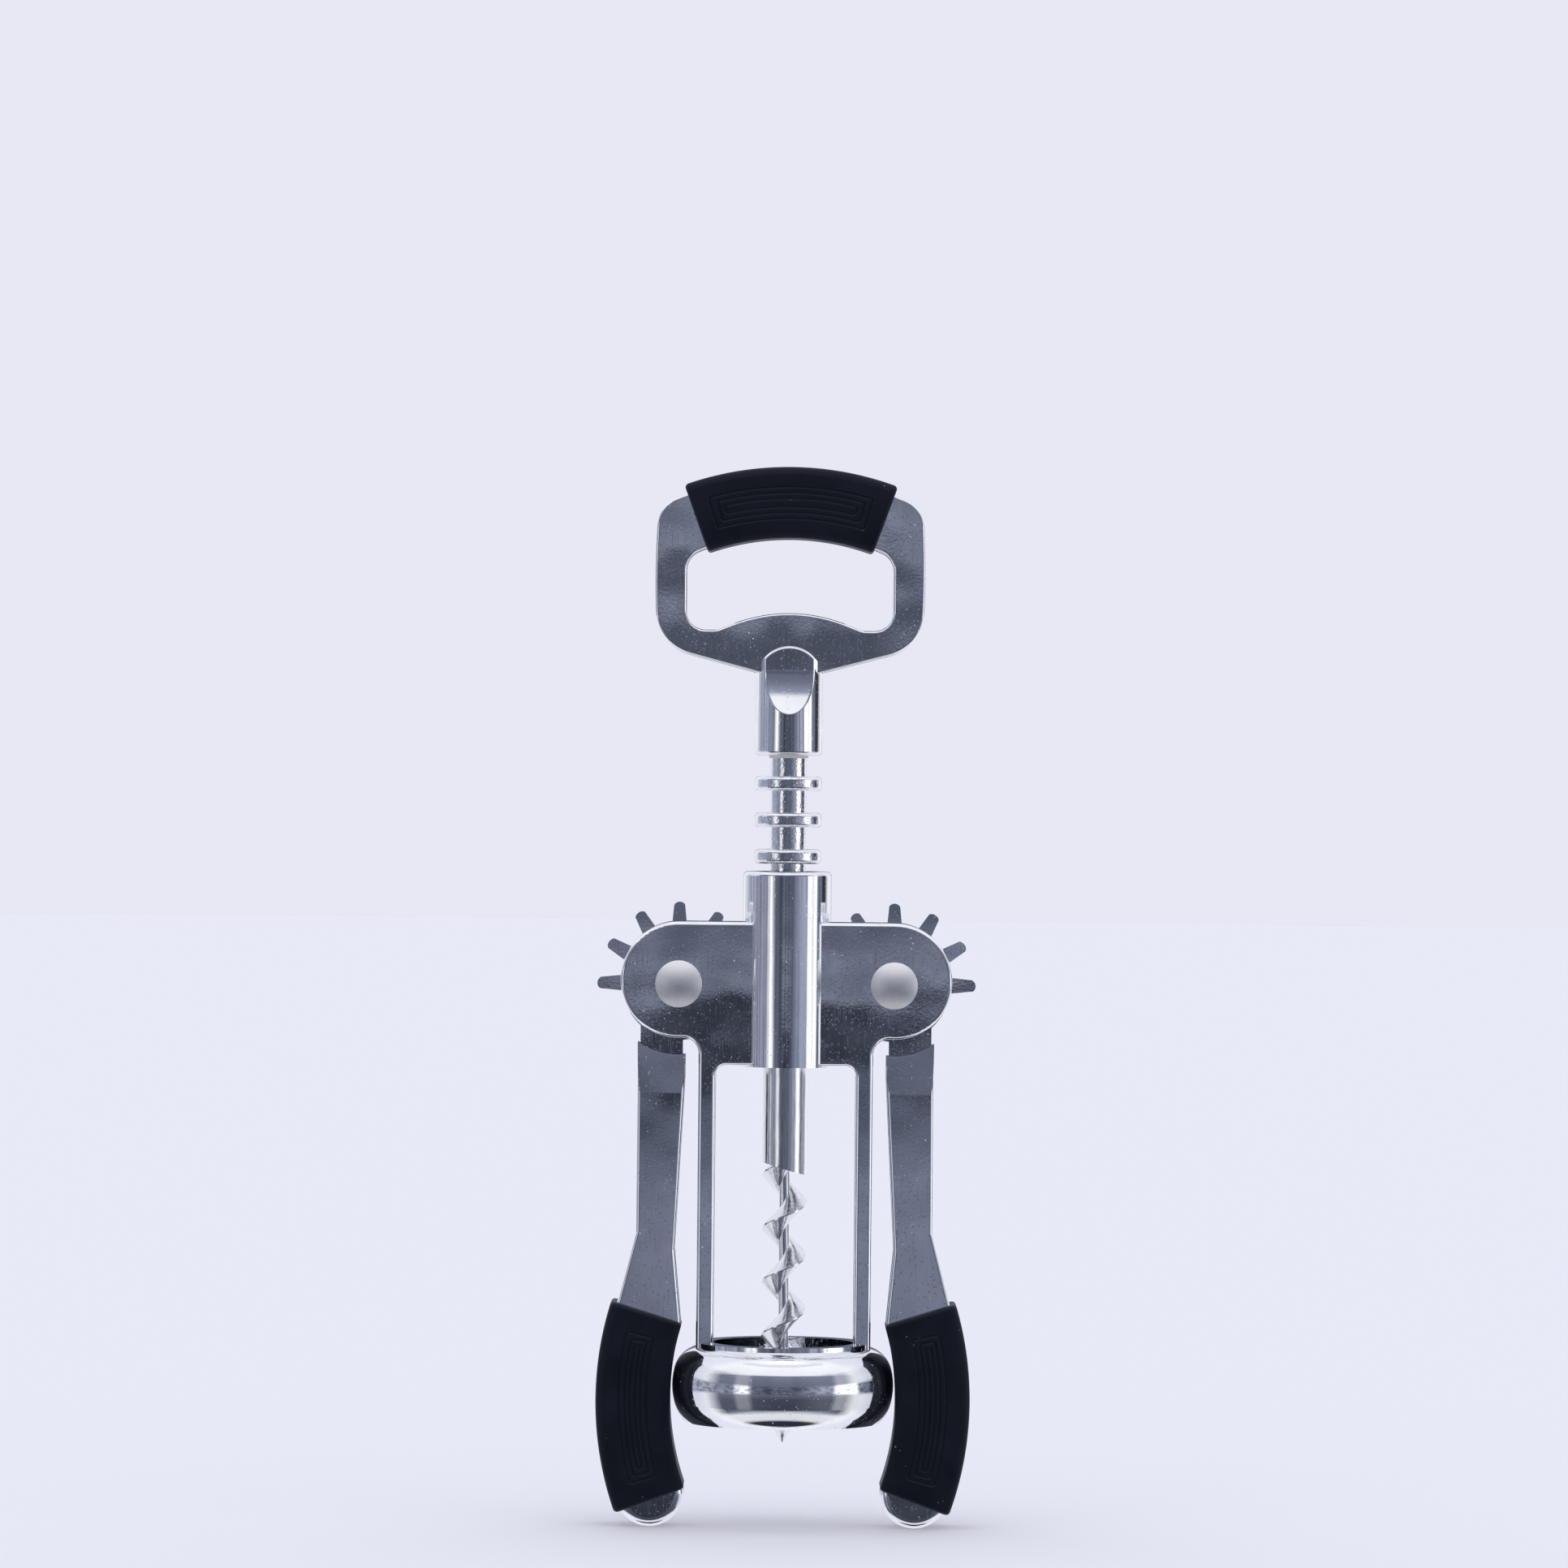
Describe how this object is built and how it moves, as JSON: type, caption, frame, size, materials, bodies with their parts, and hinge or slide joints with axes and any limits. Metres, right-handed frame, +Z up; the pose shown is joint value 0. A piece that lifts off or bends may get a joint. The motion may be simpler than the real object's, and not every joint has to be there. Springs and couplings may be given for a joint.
{
  "type": "winged lever corkscrew",
  "caption": "Winged lever corkscrew with geared levers, a ringed rack, a steel worm, soft black grips and a crown-cap opener head.",
  "frame": {"origin": "centre of the bell's mouth, where the bottle's neck enters", "axes": "+Z up the spindle towards the opener head, +X towards the right lever, the front faces -Y"},
  "size_m": [0.0682, 0.04, 0.1914],
  "materials": {
    "chrome_casting": "polished",
    "polished_steel": "polished",
    "satin_steel": "satin",
    "soft_grip": "matte",
    "nylon": "matte"
  },
  "bodies": {
    "frame": {"frame": "chrome_casting", "pivot_rivet_left": "satin_steel", "pivot_rivet_right": "satin_steel", "pivot_rivet_cap_left": "satin_steel", "pivot_rivet_cap_right": "satin_steel", "hub_washer_left_front": "nylon", "hub_washer_left_back": "nylon", "hub_washer_right_front": "nylon", "hub_washer_right_back": "nylon"},
    "lever_left": {"lever_left": "chrome_casting", "lever_grip_left": "soft_grip"},
    "lever_right": {"lever_right": "chrome_casting", "lever_grip_right": "soft_grip"},
    "rack": {"rack_sleeve": "chrome_casting"},
    "spindle": {"worm": "polished_steel", "thrust_washer_lower": "nylon", "thrust_washer_upper": "nylon", "opener_head": "chrome_casting", "head_grip": "soft_grip", "head_pin": "satin_steel"}
  },
  "joints": [
    {"name": "lever_left_swing", "type": "hinge", "parent": "frame", "child": "lever_left", "pos_m": [-0.01945, 0, 0.0792], "axis": [0, 1, 0], "range_deg": [0, 150]},
    {"name": "lever_right_swing", "type": "hinge", "parent": "frame", "child": "lever_right", "pos_m": [0.01945, 0, 0.0792], "axis": [0, -1, 0], "range_deg": [0, 150]},
    {"name": "rack_slide", "type": "slide", "parent": "frame", "child": "rack", "axis": [0, 0, -1], "range_m": [0, 0.033]},
    {"name": "handle_turn", "type": "hinge", "parent": "rack", "child": "spindle", "pos_m": [0, 0, 0.1206], "axis": [0, 0, 1], "continuous": true}
  ],
  "couplings": [
    {"joint": "lever_right_swing", "follows": "lever_left_swing", "ratio": 1},
    {"joint": "rack_slide", "follows": "lever_left_swing", "m_per_rad": 0.012605}
  ]
}
